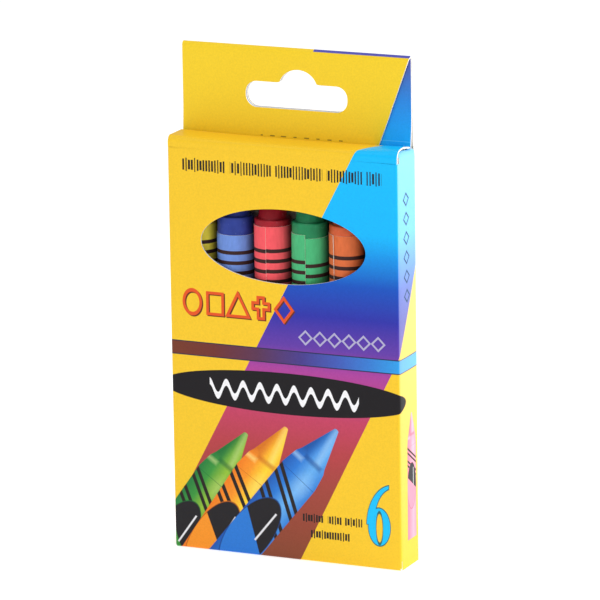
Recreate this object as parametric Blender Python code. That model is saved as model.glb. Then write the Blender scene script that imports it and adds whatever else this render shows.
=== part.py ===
"""Hang-tab carton with a window, holding six paper-wrapped wax crayons.

Metres, +Z up.  X runs along the carton's width, Y through its depth with the
front facing -Y, and Z up.  The origin is the middle of the base.
"""
import math

import bmesh
import bpy
from mathutils import Vector

MM = 0.001

# Crayons
CRAYON_PITCH = 8.5 * MM
WRAPPER_RADIUS = 4.03 * MM
WAX_RADIUS = 3.85 * MM
WAX_CORE_RADIUS = 3.5 * MM
BUTT_Z = 2.0 * MM
SHOULDER_Z = 72.2 * MM
SHOULDER_STEP = 0.75 * MM
TIP_Z = 82.8 * MM
TIP_RADIUS = 1.3 * MM
WRAPPER_BOTTOM_Z = 5.0 * MM
ROUND_SIDES = 32
SHARP_DEG = 35.0
PAPER_PALENESS = 0.25
# name of the colour, its red, green and blue, and the height where its paper ends
CRAYONS = (
    ("yellow", (0.85, 0.72, 0.05), 70.0 * MM),
    ("blue", (0.06, 0.12, 0.50), 68.4 * MM),
    ("red", (0.60, 0.03, 0.08), 70.8 * MM),
    ("green", (0.02, 0.30, 0.10), 69.4 * MM),
    ("orange", (0.75, 0.22, 0.06), 70.2 * MM),
    ("brown", (0.17, 0.07, 0.03), 69.0 * MM),
)

# Carton
BOARD = 0.35 * MM
GAP = 0.3 * MM
WIDTH = len(CRAYONS) * CRAYON_PITCH + 2 * BOARD + GAP
DEPTH = 9.4 * MM
HEIGHT = 88.5 * MM
FOLD_RADIUS = 0.9 * MM
FRONT_Y = -DEPTH / 2
BACK_Y = DEPTH / 2
SIDE_X = WIDTH / 2

# Window in the front panel
WINDOW_Z = 67.1 * MM
WINDOW_HALF = (18.6 * MM, 7.7 * MM)
WINDOW_POINTS = 72

# Hang tab: three plies with one euro slot through all of them
TAB_TOP_Z = 107.4 * MM
TAB_LEFT_X = -25.8 * MM
TAB_RIGHT_X = 25.6 * MM
FRONT_PLY_FOOT_X = 18.8 * MM
PLY_GAP = 0.25 * MM
SLOT_X = 0.55 * MM
SLOT_Z = 97.35 * MM
SLOT_HALF = (11.35 * MM, 2.7 * MM)
SLOT_END_RADIUS = 2.5 * MM
DOME_RADIUS = 4.35 * MM
DOME_RISE = 1.3 * MM
DOME_FILLET = 1.5 * MM

# Closures
TAB_CLEARANCE = 0.45 * MM
TUCK_LENGTH = 4.6 * MM
TUCK_INSET = 1.5 * MM
DUST_LENGTH = 8.0 * MM
TOP_DUST_Z = HEIGHT - BOARD - GAP
TOP_DUST_Y = (FRONT_Y + 2.2 * MM, FRONT_Y + 6.2 * MM)
DUST_TAPER = 0.8 * MM
GLUE_FLAP_WIDTH = 2.0 * MM
GLUE_FLAP_END = 4.0 * MM

BOARD_YELLOW = (0.87, 0.55, 0.03)
BOARD_CYAN = (0.02, 0.45, 0.90)
BOARD_WHITE = (0.80, 0.79, 0.75)


def remove_old_objects():
    for old in list(bpy.data.objects):
        bpy.data.objects.remove(old)


def material(name, colour, roughness):
    made = bpy.data.materials.new(name)
    made.use_nodes = True
    shader = made.node_tree.nodes["Principled BSDF"]
    shader.inputs["Base Color"].default_value = (*colour, 1.0)
    shader.inputs["Roughness"].default_value = roughness
    shader.inputs["Metallic"].default_value = 0.0
    return made


def place(name, bm, colour, roughness=0.45, origin=(0.0, 0.0, 0.0)):
    """Make an object of the mesh, with its origin at the given world point."""
    bmesh.ops.recalc_face_normals(bm, faces=bm.faces)
    bmesh.ops.translate(bm, verts=bm.verts, vec=-Vector(origin))
    mesh = bpy.data.meshes.new(name)
    bm.to_mesh(mesh)
    bm.free()
    mesh.materials.append(material(name, colour, roughness))
    made = bpy.data.objects.new(name, mesh)
    made.location = origin
    bpy.context.scene.collection.objects.link(made)
    return made


def arc(centre, radius, start_deg, end_deg, steps):
    """Points along an arc, both ends included."""
    points = []
    for i in range(steps + 1):
        angle = math.radians(start_deg + (end_deg - start_deg) * i / steps)
        points.append((centre[0] + radius * math.cos(angle),
                       centre[1] + radius * math.sin(angle)))
    return points


def sheet(outline, holes, thickness, to_world, along):
    """Fill a flat outline with holes, and give it thickness along a direction."""
    bm = bmesh.new()
    edges = []
    for loop in (outline, *holes):
        verts = [bm.verts.new(to_world(u, v)) for u, v in loop]
        for i, vert in enumerate(verts):
            edges.append(bm.edges.new((vert, verts[(i + 1) % len(verts)])))
    bmesh.ops.triangle_fill(bm, edges=edges, use_beauty=True)
    grown = bmesh.ops.extrude_face_region(bm, geom=bm.faces[:])
    moved = [item for item in grown["geom"] if isinstance(item, bmesh.types.BMVert)]
    bmesh.ops.translate(bm, verts=moved, vec=Vector(along) * thickness)
    return bm


def upright_sheet(outline, holes, y):
    """A board standing in the XZ plane, its front face at y."""
    return sheet(outline, holes, BOARD, lambda x, z: (x, y, z), (0, 1, 0))


def lying_sheet(outline, z):
    """A board lying in the XY plane, its top face at z."""
    return sheet(outline, (), BOARD, lambda x, y: (x, y, z), (0, 0, -1))


def rectangle(low, high):
    return [low, (high[0], low[1]), high, (low[0], high[1])]


def window_outline():
    turn = 2 * math.pi / WINDOW_POINTS
    return [(WINDOW_HALF[0] * math.cos(i * turn),
             WINDOW_Z + WINDOW_HALF[1] * math.sin(i * turn)) for i in range(WINDOW_POINTS)]


def slot_outline():
    """A euro slot: a bar with round ends, and a dome that flows into its top edge."""
    half_x, half_z = SLOT_HALF
    end_x = half_x - SLOT_END_RADIUS
    low = SLOT_Z - half_z + SLOT_END_RADIUS
    high = SLOT_Z + half_z - SLOT_END_RADIUS
    dome_z = SLOT_Z + DOME_RISE
    fillet_z = SLOT_Z + half_z + DOME_FILLET
    rise = fillet_z - dome_z
    fillet_x = math.sqrt((DOME_RADIUS + DOME_FILLET) ** 2 - rise ** 2)
    lean = math.degrees(math.atan2(rise, fillet_x))
    points = arc((-end_x, low), SLOT_END_RADIUS, 180, 270, 7)
    points += arc((end_x, low), SLOT_END_RADIUS, 270, 360, 7)
    points += arc((end_x, high), SLOT_END_RADIUS, 0, 90, 7)
    points += arc((fillet_x, fillet_z), DOME_FILLET, 270, 180 + lean, 4)
    points += arc((0, dome_z), DOME_RADIUS, lean, 180 - lean, 14)[1:-1]
    points += arc((-fillet_x, fillet_z), DOME_FILLET, 360 - lean, 270, 4)
    points += arc((-end_x, high), SLOT_END_RADIUS, 90, 180, 7)
    return [(SLOT_X + x, z) for x, z in points]


def ply_faces():
    """Front faces of the tab's back, middle and front plies."""
    back = BACK_Y - BOARD
    middle = back - PLY_GAP - BOARD
    return back, middle, middle - PLY_GAP - BOARD


def make_sleeve():
    """The carton's four walls and the strip that glues them into a sleeve."""
    top = HEIGHT - FOLD_RADIUS - GAP / 2
    front = rectangle((-SIDE_X, 0.0), (SIDE_X, top))
    place("front_panel", upright_sheet(front, [window_outline()], FRONT_Y), BOARD_YELLOW)
    back = rectangle((-SIDE_X, 0.0), (SIDE_X, HEIGHT))
    place("back_panel", upright_sheet(back, [], BACK_Y - BOARD), BOARD_YELLOW)
    wall_top = TOP_DUST_Z - BOARD - GAP
    for name, x in (("left_side_panel", -SIDE_X), ("right_side_panel", SIDE_X - BOARD)):
        outline = rectangle((FRONT_Y + BOARD + GAP, 0.0), (BACK_Y - BOARD - GAP, wall_top))
        wall = sheet(outline, (), BOARD, lambda y, z, x=x: (x, y, z), (1, 0, 0))
        place(name, wall, BOARD_CYAN if x > 0 else BOARD_YELLOW)
    flap_x = SIDE_X - BOARD - GAP
    flap_y = BACK_Y - BOARD - GAP - BOARD
    flap = rectangle((flap_x - GLUE_FLAP_WIDTH, GLUE_FLAP_END), (flap_x, wall_top - GLUE_FLAP_END))
    place("side_glue_flap", upright_sheet(flap, [], flap_y), BOARD_WHITE)


def make_hang_tab():
    back, middle, front = ply_faces()
    foot = HEIGHT + GAP
    whole = rectangle((TAB_LEFT_X, foot), (TAB_RIGHT_X, TAB_TOP_Z))
    slanted = [(TAB_LEFT_X, foot), (FRONT_PLY_FOOT_X, foot),
               (TAB_RIGHT_X, TAB_TOP_Z), (TAB_LEFT_X, TAB_TOP_Z)]
    slot = slot_outline()
    place("hang_tab_back_ply", upright_sheet(whole, [slot], back), BOARD_YELLOW)
    place("hang_tab_middle_ply", upright_sheet(whole, [slot], middle), BOARD_CYAN)
    place("hang_tab_front_ply", upright_sheet(slanted, [slot], front), BOARD_YELLOW)


def make_lid():
    """The lid with its small round front fold, and the tuck flap on its rear edge."""
    tuck_back = ply_faces()[2] - TAB_CLEARANCE
    lid_end = tuck_back - BOARD - GAP
    centre = (FRONT_Y + FOLD_RADIUS, HEIGHT - FOLD_RADIUS)
    skip = math.degrees(math.asin(GAP / 2 / FOLD_RADIUS))
    outer = arc(centre, FOLD_RADIUS, 180 - skip, 90, 12) + [(lid_end, HEIGHT)]
    inner = [(lid_end, HEIGHT - BOARD)] + arc(centre, FOLD_RADIUS - BOARD, 90, 180 - skip, 12)
    lid = sheet(outer + inner, (), WIDTH, lambda y, z: (-SIDE_X, y, z), (1, 0, 0))
    place("top_lid", lid, BOARD_YELLOW, origin=(0.0, FRONT_Y, HEIGHT - FOLD_RADIUS))
    half = SIDE_X - TUCK_INSET
    flap = [(-half, HEIGHT), (-half + TUCK_INSET, HEIGHT - TUCK_LENGTH),
            (half - TUCK_INSET, HEIGHT - TUCK_LENGTH), (half, HEIGHT)]
    axis = (0.0, tuck_back - BOARD / 2, HEIGHT - BOARD / 2)
    place("top_tuck_flap", upright_sheet(flap, [], tuck_back - BOARD), BOARD_WHITE, origin=axis)


def dust_outline(side, y_range):
    """A dust flap that narrows from the side wall towards its free end."""
    root = side * SIDE_X
    tip = side * (SIDE_X - DUST_LENGTH)
    return [(root, y_range[0]), (tip, y_range[0] + DUST_TAPER),
            (tip, y_range[1] - DUST_TAPER), (root, y_range[1])]


def make_dust_flaps():
    inside_y = (FRONT_Y + BOARD + GAP, BACK_Y - BOARD - GAP)
    bottom_z = 3 * BOARD + 2 * GAP
    for side, word in ((-1, "left"), (1, "right")):
        top = lying_sheet(dust_outline(side, TOP_DUST_Y), TOP_DUST_Z)
        place(f"top_dust_flap_{word}", top, BOARD_CYAN if side > 0 else BOARD_YELLOW)
        root = side * (SIDE_X - BOARD - GAP)
        tip = side * (SIDE_X - DUST_LENGTH)
        bottom = [(root, inside_y[0]), (tip, inside_y[0]), (tip, inside_y[1]), (root, inside_y[1])]
        place(f"bottom_dust_flap_{word}", lying_sheet(bottom, bottom_z), BOARD_WHITE)


def make_bottom():
    """Two full flaps, one under the other, that close the carton's base."""
    half = SIDE_X - BOARD - GAP
    inside_y = (FRONT_Y + BOARD + GAP, BACK_Y - BOARD - GAP)
    outline = rectangle((-half, inside_y[0]), (half, inside_y[1]))
    place("bottom_outer_flap", lying_sheet(outline, BOARD), BOARD_YELLOW)
    place("bottom_inner_flap", lying_sheet(outline, 2 * BOARD + GAP), BOARD_WHITE)


def turned(profile, x):
    """Turn a closed profile of (radius, height) points about the upright line at x."""
    bm = bmesh.new()
    rings = []
    for radius, z in profile:
        ring = []
        for i in range(ROUND_SIDES):
            angle = 2 * math.pi * i / ROUND_SIDES
            ring.append(bm.verts.new((x + radius * math.cos(angle),
                                      radius * math.sin(angle), z)))
        rings.append(ring)
    return bm, rings


def join_rings(bm, low, high):
    for i in range(ROUND_SIDES):
        after = (i + 1) % ROUND_SIDES
        bm.faces.new((low[i], low[after], high[after], high[i]))


def wax_stick(x, paper_top):
    """A solid stick, a little thinner under its paper, with a stepped cone for a tip."""
    profile = [(WAX_RADIUS, BUTT_Z), (WAX_RADIUS, WRAPPER_BOTTOM_Z - GAP),
               (WAX_CORE_RADIUS, WRAPPER_BOTTOM_Z - GAP), (WAX_CORE_RADIUS, paper_top + GAP),
               (WAX_RADIUS, paper_top + GAP), (WAX_RADIUS, SHOULDER_Z),
               (WAX_RADIUS - SHOULDER_STEP, SHOULDER_Z), (TIP_RADIUS, TIP_Z)]
    bm, rings = turned(profile, x)
    for low, high in zip(rings, rings[1:]):
        join_rings(bm, low, high)
    bm.faces.new(rings[0])
    bm.faces.new(rings[-1])
    return bm


def paper_tube(x, paper_top):
    bore = WAX_CORE_RADIUS + GAP
    profile = [(WRAPPER_RADIUS, WRAPPER_BOTTOM_Z), (WRAPPER_RADIUS, paper_top),
               (bore, paper_top), (bore, WRAPPER_BOTTOM_Z)]
    bm, rings = turned(profile, x)
    for low, high in zip(rings, rings[1:] + rings[:1]):
        join_rings(bm, low, high)
    return bm


def make_crayons():
    for i, (colour, rgb, paper_top) in enumerate(CRAYONS):
        x = (i - (len(CRAYONS) - 1) / 2) * CRAYON_PITCH
        origin = (x, 0.0, BUTT_Z)
        wax = place(f"crayon_{colour}_wax", wax_stick(x, paper_top), rgb, 0.4, origin)
        paper = [PAPER_PALENESS + part * (1 - PAPER_PALENESS) for part in rgb]
        wrap = place(f"crayon_{colour}_wrapper", paper_tube(x, paper_top), paper, 0.7, origin)
        for made in (wax, wrap):
            made.data.shade_smooth()
            made.data.set_sharp_from_angle(angle=math.radians(SHARP_DEG))


remove_old_objects()
make_sleeve()
make_hang_tab()
make_lid()
make_dust_flaps()
make_bottom()
make_crayons()
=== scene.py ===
import math

import bpy
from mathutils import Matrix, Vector


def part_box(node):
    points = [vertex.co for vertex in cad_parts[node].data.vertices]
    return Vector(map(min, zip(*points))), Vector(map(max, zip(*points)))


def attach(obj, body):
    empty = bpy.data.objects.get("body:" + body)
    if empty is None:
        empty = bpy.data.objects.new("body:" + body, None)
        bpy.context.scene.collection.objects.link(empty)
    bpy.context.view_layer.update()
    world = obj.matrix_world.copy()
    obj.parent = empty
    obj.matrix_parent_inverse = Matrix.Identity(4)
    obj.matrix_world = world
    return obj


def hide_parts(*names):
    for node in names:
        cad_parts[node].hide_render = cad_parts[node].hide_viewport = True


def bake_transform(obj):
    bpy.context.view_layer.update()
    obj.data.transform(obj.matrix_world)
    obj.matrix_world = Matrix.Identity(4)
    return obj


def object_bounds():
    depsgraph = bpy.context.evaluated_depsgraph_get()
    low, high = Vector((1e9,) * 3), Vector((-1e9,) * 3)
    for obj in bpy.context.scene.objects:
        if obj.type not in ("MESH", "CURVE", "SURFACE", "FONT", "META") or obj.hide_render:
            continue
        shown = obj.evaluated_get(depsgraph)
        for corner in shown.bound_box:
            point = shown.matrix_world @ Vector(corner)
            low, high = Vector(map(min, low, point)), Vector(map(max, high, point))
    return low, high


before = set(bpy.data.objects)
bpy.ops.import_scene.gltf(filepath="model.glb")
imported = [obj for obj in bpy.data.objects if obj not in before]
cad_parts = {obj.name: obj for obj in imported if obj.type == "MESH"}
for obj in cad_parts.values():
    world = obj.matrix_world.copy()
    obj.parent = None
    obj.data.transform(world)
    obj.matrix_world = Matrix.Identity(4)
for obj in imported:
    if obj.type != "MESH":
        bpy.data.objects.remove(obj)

cad_low, cad_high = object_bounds()


# --- Carton sleeve -------------------------------------------------------------------
# Front, right, back and left walls of one 0.35 mm board, printed on the outside, grey
# white inside.  It is creased at four upright folds and glued along a hidden strip.

MM = 0.001
TOUCH = 0.01 * MM
BOARD = 0.35 * MM
FRONT_Y, BACK_Y = cad_low.y, cad_high.y
LEFT_X, RIGHT_X = cad_low.x, cad_high.x
LID_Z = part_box("top_lid")[1].z
FOLD_RADIUS = 0.9 * MM
CREASE_Z = LID_Z - FOLD_RADIUS
SLIT_Z = CREASE_Z - 1.2 * MM
WALL_TOP_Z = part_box("right_side_panel")[1].z
PRINT_WIDTH = (RIGHT_X - LEFT_X) / MM


def linear(red, green, blue):
    """A shade given as it is seen, from 0 to 255, as the numbers a shader needs."""
    shades = []
    for part in (red, green, blue):
        part = part / 255
        shades.append(part / 12.92 if part < 0.04045 else ((part + 0.055) / 1.055) ** 2.4)
    return (*shades, 1.0)


class Value:
    """A number in a material's nodes.  Arithmetic on it adds Math nodes."""

    def __init__(self, socket):
        self.socket = socket

    def __add__(self, other):
        return calc("ADD", self, other)

    def __sub__(self, other):
        return calc("SUBTRACT", self, other)

    def __rsub__(self, other):
        return calc("MULTIPLY_ADD", self, -1.0, other)

    def __mul__(self, other):
        return calc("MULTIPLY", self, other)

    def __truediv__(self, other):
        return calc("DIVIDE", self, other)


def calc(operation, *terms, clamp=False):
    tree = next(term for term in terms if isinstance(term, Value)).socket.node.id_data
    node = tree.nodes.new("ShaderNodeMath")
    node.operation = operation
    node.use_clamp = clamp
    for socket, term in zip(node.inputs, terms):
        if isinstance(term, Value):
            tree.links.new(term.socket, socket)
        else:
            socket.default_value = term
    return Value(node.outputs[0])


def fill(distance, soft=0.06):
    """1 inside an outline and 0 outside, where distance is negative inside, in mm."""
    return calc("MULTIPLY_ADD", distance, -1.0 / soft, 0.5, clamp=True)


def both(first, second):
    return calc("MAXIMUM", first, second)


def either(first, second):
    return calc("MINIMUM", first, second)


def size_of(value):
    return calc("ABSOLUTE", value)


def root_of_squares(x, y):
    return calc("SQRT", calc("MULTIPLY_ADD", x, x, y * y))


def oval(u, v, middle, radii):
    x = calc("MULTIPLY_ADD", u, 1 / radii[0], -middle[0] / radii[0])
    y = calc("MULTIPLY_ADD", v, 1 / radii[1], -middle[1] / radii[1])
    reach = min(radii)
    return calc("MULTIPLY_ADD", root_of_squares(x, y), reach, -reach)


def bar(u, v, middle, half):
    across = size_of(u - middle[0]) - half[0]
    return both(across, size_of(v - middle[1]) - half[1])


def turned(u, v, middle, degrees):
    """The art's coordinates about a point, turned by an angle."""
    c, s = math.cos(math.radians(degrees)), math.sin(math.radians(degrees))
    x = calc("MULTIPLY_ADD", u, c, calc("MULTIPLY_ADD", v, s, -middle[0] * c - middle[1] * s))
    y = calc("MULTIPLY_ADD", u, -s, calc("MULTIPLY_ADD", v, c, middle[0] * s - middle[1] * c))
    return x, y


def paint(under, over, mask):
    """Lay one colour over another where the mask is 1.  A colour is a socket or numbers."""
    tree = mask.socket.node.id_data
    node = tree.nodes.new("ShaderNodeMix")
    node.data_type = "RGBA"
    tree.links.new(mask.socket, node.inputs["Factor"])
    for name, colour in (("A", under), ("B", over)):
        socket = next(s for s in node.inputs if s.name == name and s.type == "RGBA")
        if isinstance(colour, tuple):
            socket.default_value = colour
        else:
            tree.links.new(colour, socket)
    return next(s for s in node.outputs if s.type == "RGBA")


def gradient(value, low, high, stops):
    """A run of colours along a value, each at its own place in mm."""
    tree = value.socket.node.id_data
    node = tree.nodes.new("ShaderNodeValToRGB")
    place = calc("MULTIPLY_ADD", value, 1 / (high - low), -low / (high - low))
    tree.links.new(place.socket, node.inputs["Fac"])
    ramp = node.color_ramp
    while len(ramp.elements) < len(stops):
        ramp.elements.new(0.5)
    for element, (where, colour) in zip(ramp.elements, sorted(stops)):
        element.position = (where - low) / (high - low)
        element.color = linear(*colour)
    return node.outputs["Color"]


def speckle(tree, scale, detail=2.0, stretch=(1, 1, 1)):
    """Noise fixed to the piece: scale is in lumps to the metre."""
    place = tree.nodes.new("ShaderNodeTexCoord")
    mapping = tree.nodes.new("ShaderNodeMapping")
    mapping.inputs["Scale"].default_value = stretch
    tree.links.new(place.outputs["Object"], mapping.inputs["Vector"])
    noise = tree.nodes.new("ShaderNodeTexNoise")
    noise.inputs["Scale"].default_value = scale
    noise.inputs["Detail"].default_value = detail
    tree.links.new(mapping.outputs["Vector"], noise.inputs["Vector"])
    return Value(noise.outputs["Fac"])


def art_place(tree):
    """The print's own coordinates: mm from the front's left edge, and mm above the base."""
    uv = tree.nodes.new("ShaderNodeUVMap")
    uv.uv_map = "art"
    split = tree.nodes.new("ShaderNodeSeparateXYZ")
    tree.links.new(uv.outputs["UV"], split.inputs["Vector"])
    return Value(split.outputs["X"]), Value(split.outputs["Y"])


def new_finish(name, roughness, specular=0.5):
    made = bpy.data.materials.new(name)
    made.use_nodes = True
    shader = made.node_tree.nodes["Principled BSDF"]
    shader.inputs["Roughness"].default_value = roughness
    shader.inputs["Specular IOR Level"].default_value = specular
    return made, made.node_tree, shader


def bump(tree, shader, height, distance, strength=1.0):
    node = tree.nodes.new("ShaderNodeBump")
    node.inputs["Distance"].default_value = distance
    node.inputs["Strength"].default_value = strength
    tree.links.new(height.socket, node.inputs["Height"])
    tree.links.new(node.outputs["Normal"], shader.inputs["Normal"])


def varnish(tree, shader, colour):
    """Lacquered print: the paper's fine tooth and slow waves show in the gloss."""
    tooth = speckle(tree, 2600.0, 3.0)
    waves = speckle(tree, 130.0, 1.0)
    tint = calc("MULTIPLY_ADD", tooth, 0.22, 0.88)
    shade = tree.nodes.new("ShaderNodeMix")
    shade.data_type, shade.blend_type = "RGBA", "MULTIPLY"
    shade.inputs["Factor"].default_value = 1.0
    slots = [s for s in shade.inputs if s.type == "RGBA"]
    tree.links.new(colour, slots[0])
    tree.links.new(tint.socket, slots[1])
    tree.links.new(next(s for s in shade.outputs if s.type == "RGBA"),
                   shader.inputs["Base Color"])
    gloss = calc("MULTIPLY_ADD", tooth, 0.16, 0.30)
    tree.links.new(gloss.socket, shader.inputs["Roughness"])
    bump(tree, shader, calc("MULTIPLY_ADD", waves, 8.0, tooth), 0.006 * MM)


YELLOW = linear(243, 198, 44)
INK = linear(38, 32, 30)
BAND_STOPS = (
    (0, (136, 72, 48)), (8, (148, 70, 52)), (16, (160, 70, 60)), (24, (180, 66, 72)),
    (31, (192, 66, 98)), (41, (170, 66, 154)), (46, (100, 60, 164)), (53, (46, 50, 166)),
    (60, (20, 82, 188)), (66, (16, 142, 226)), (71, (14, 182, 250)), (94, (16, 190, 252)))


def band_edges(u, v):
    """Distances from the broad diagonal band's left and right edges, and its inside."""
    left = calc("MULTIPLY_ADD", v, 0.466, -3.66) - u * 0.882
    right = u * 0.893 - calc("MULTIPLY_ADD", v, 0.450, 25.9)
    return both(left, right)


def stripe_over(colour, u, v):
    """The level stripe across the front, brown at the left to blue at the right."""
    off_middle = size_of(v - 43.65)
    dark, ink = fill(off_middle - 1.55), fill(off_middle - 1.33)
    run = gradient(u, 0.0, 62.0, (
        (0, (118, 58, 38)), (10, (110, 50, 46)), (20, (90, 52, 82)), (30, (72, 60, 138)),
        (38, (66, 90, 180)), (45, (56, 122, 206)), (52, (48, 156, 228)), (61, (40, 172, 232))))
    return paint(paint(colour, linear(36, 44, 72), dark), run, ink)


def dark_oval(colour, u, v):
    """The long black oval, which runs on round the corner."""
    return paint(colour, linear(24, 21, 25), fill(oval(u, v, (26.4, 35.75), (28.6, 4.45))))


def printed_ground(u, v):
    """Yellow all over, the diagonal band, and the stripe."""
    band = gradient(v, 0.0, 94.0, BAND_STOPS)
    return stripe_over(paint(YELLOW, band, fill(band_edges(u, v))), u, v)


def mark_row(u, v, words, middle, height, pitch, stroke):
    """Plain upright strokes of uneven height, in groups, with no letters in them."""
    start = words[0][0]
    cell = calc("FLOOR", calc("MULTIPLY_ADD", u, 1 / pitch, -start / pitch))
    tree = cell.socket.node.id_data
    chance = tree.nodes.new("ShaderNodeTexWhiteNoise")
    chance.noise_dimensions = "1D"
    tree.links.new(cell.socket, chance.inputs["W"])
    chance = Value(chance.outputs["Value"])
    inside = size_of(calc("MULTIPLY_ADD", cell, -pitch, u - (start + pitch / 2)))
    width = calc("MULTIPLY_ADD", chance, 0.35 * stroke, 0.28 * stroke)
    width = width - calc("GREATER_THAN", chance, 0.93)
    tall = calc("MULTIPLY_ADD", chance, -0.18 * height, 0.5 * height)
    mark = both(inside - width, size_of(v - middle) - tall)
    group = None
    for low, high in words:
        one = size_of(u - (low + high) / 2) - (high - low) / 2
        group = one if group is None else either(group, one)
    return both(mark, group)


def diamond_row(u, v, start, end, middle, reach, stroke, count):
    """Small open diamonds, evenly spaced."""
    pitch = (end - start) / count
    place = calc("PINGPONG", u - start - pitch / 2, pitch / 2)
    outline = size_of(place + size_of(v - middle) - reach) - stroke
    return both(outline, size_of(u - (start + end) / 2) - (end - start) / 2)


def ring(u, v, middle, radii, stroke):
    return size_of(oval(u, v, middle, radii)) - stroke


def five_shapes(u, v):
    """Open shapes in a row: a ring, a square, a triangle, a cross and a diamond."""
    middle_z, reach, stroke = 53.7, 1.95, 0.31
    places = [5.1 + i * 5.25 for i in range(5)]
    shapes = ring(u, v, (places[0], middle_z), (reach, reach + 0.6), stroke)
    square = bar(u, v, (places[1], middle_z), (reach - 0.2, reach + 0.3))
    foot = (middle_z - reach - 0.3) - v
    slope = size_of(u - places[2]) * 0.89 + calc(
        "MULTIPLY_ADD", v, 0.45, -0.45 * (middle_z + reach + 0.7))
    upright = bar(u, v, (places[3], middle_z), (0.65, reach + 0.3))
    level = bar(u, v, (places[3], middle_z + 0.4), (reach - 0.1, 0.65))
    x = size_of(u - places[4]) * 0.8
    diamond = calc("MULTIPLY_ADD", size_of(v - middle_z), 0.62, x) - reach * 0.8
    for outline in (square, both(foot, slope), either(upright, level), diamond):
        shapes = either(shapes, size_of(outline) - stroke)
    return shapes


def numeral_six(u, v):
    """A plain figure for the number of crayons: a tall ring with a curved tail."""
    loop = both(oval(u, v, (47.06, 9.05), (2.5, 4.1)),
                0.0 - oval(u, v, (47.1, 8.8), (0.8, 3.5)))
    tail = both(oval(u, v, (50.2, 9.0), (6.0, 9.3)),
                0.0 - oval(u, v, (50.6, 10.5), (4.5, 7.2)))
    tail = both(tail, both(9.4 - v, u - 49.3))
    return either(loop, tail)


def drawn_crayon(colour, u, v, tip, heading, girth, dark, mid, light, end=20.0):
    """A crayon drawn lying on a slant: pointed wax, paper with slanted bands, black label.

    Its own coordinates are s, in half widths down from the tip, and t, across it.
    """
    s, t = turned(u, v, tip, heading)
    s, t = s * (1 / girth), t * (1 / girth)
    soft = 0.03
    width = calc("MAXIMUM", calc("MULTIPLY_ADD", s, 0.33, 0.1), calc("MULTIPLY_ADD", s, 0.5, -0.22))
    outline = both(size_of(t) - calc("MINIMUM", width, 1.0), calc("MULTIPLY_ADD", t * t, 3.0, 0.0 - s))
    whole = fill(both(outline, s - end), soft)
    tree = whole.socket.node.id_data
    sheen = tree.nodes.new("ShaderNodeValToRGB")
    ramp = sheen.color_ramp
    ramp.elements[0].color = linear(*dark)
    ramp.elements[1].color = linear(*mid)
    ramp.elements.new(0.66).color = linear(*light)
    ramp.elements.new(0.34).color = linear(*mid)
    tree.links.new(calc("MULTIPLY_ADD", t, 0.48, 0.5).socket, sheen.inputs["Fac"])
    picture = sheen.outputs["Color"]
    deep = linear(*[part * 0.82 for part in dark])
    pale = linear(*[part * 0.6 + 100 for part in light])
    cone_shade = both(s - 1.95, calc("MULTIPLY_ADD", s, 0.12, t) + 0.05)
    picture = paint(picture, deep, fill(cone_shade, 0.45) * 0.7)
    shine = both(s - 1.95, size_of(t - s * 0.16) - 0.1)
    picture = paint(picture, pale, fill(shine, 0.3) * 0.55)
    wedge = both(size_of(s - 2.05) - 0.12, size_of(t - 0.12) - 0.5)
    picture = paint(picture, deep, fill(wedge, 0.14) * 0.6)
    collar = both(size_of(s - 2.28) - 0.1, t + 0.35)
    picture = paint(picture, pale, fill(collar, 0.18) * 0.6)
    picture = paint(picture, pale, fill(oval(s, t, (3.3, 0.4), (0.5, 0.3)), 0.5) * 0.35)
    picture = paint(picture, deep, fill(size_of(s - 3.1) - 0.012, 0.02) * 0.8)
    slant = s - t * 0.66
    pairs = either(size_of(slant - 4.02), size_of(slant - 5.2))
    picture = paint(picture, INK, fill(size_of(pairs - 0.21) - 0.11, soft))
    label = oval(s, t, (6.85, -0.03), (2.15, 0.98))
    picture = paint(picture, linear(*mid), fill(label, soft))
    picture = paint(picture, deep, fill(size_of(label) - 0.02, soft))
    picture = paint(picture, linear(34, 32, 36), fill(both(label, s - t * 0.72 - 6.6), soft))
    rule = both(size_of(t - 0.34) - 0.045, size_of(s - 6.05) - 0.85)
    picture = paint(picture, linear(230, 230, 234), fill(rule, soft))
    return paint(colour, picture, whole)


def front_print():
    made, tree, shader = new_finish("print_front", 0.4, 0.16)
    u, v = art_place(tree)
    colour = printed_ground(u, v)
    for crayon in (
            ((17.1, 26.4), 234.3, 4.36, (30, 118, 62), (62, 150, 62), (146, 190, 58)),
            ((26.3, 28.5), 236, 4.6, (238, 122, 30), (246, 150, 40), (253, 212, 52)),
            ((37.8, 29.1), 230.5, 4.66, (30, 84, 172), (44, 122, 212), (104, 176, 240))):
        colour = drawn_crayon(colour, u, v, *crayon)
    colour = dark_oval(colour, u, v)
    wave = size_of(v - 35.5 - calc("SINE", u * 1.62) * 1.5) - 0.75
    scribble = both(wave, size_of(u - 25.8) - 17.0)
    colour = paint(colour, linear(240, 240, 243), fill(scribble))
    shapes = five_shapes(u, v)
    shadow = five_shapes(u - 0.28, v + 0.22)
    colour = paint(colour, linear(96, 44, 24), fill(shadow))
    colour = paint(colour, linear(226, 84, 34), fill(shapes))
    grey = diamond_row(u, v, 29.3, 48.9, 48.2, 1.4, 0.27, 6)
    colour = paint(colour, linear(176, 172, 204), fill(grey))
    slogan = ((3.3, 13.2), (14.3, 23.6), (24.6, 35.2), (36.1, 48.4))
    rows = mark_row(u, v, slogan, 83.0, 3.0, 0.66, 0.42)
    for words, middle in ((((29.6, 34.5), (35.4, 43.2)), 9.4), (((31.4, 41.0),), 6.0)):
        rows = either(rows, mark_row(u, v, words, middle, 2.0, 0.6, 0.42))
    colour = paint(colour, INK, fill(rows))
    figure = numeral_six(u, v)
    colour = paint(colour, linear(40, 104, 110), fill(figure - 0.1))
    colour = paint(colour, linear(22, 192, 250), fill(figure + 0.06))
    varnish(tree, shader, colour)
    return made


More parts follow.
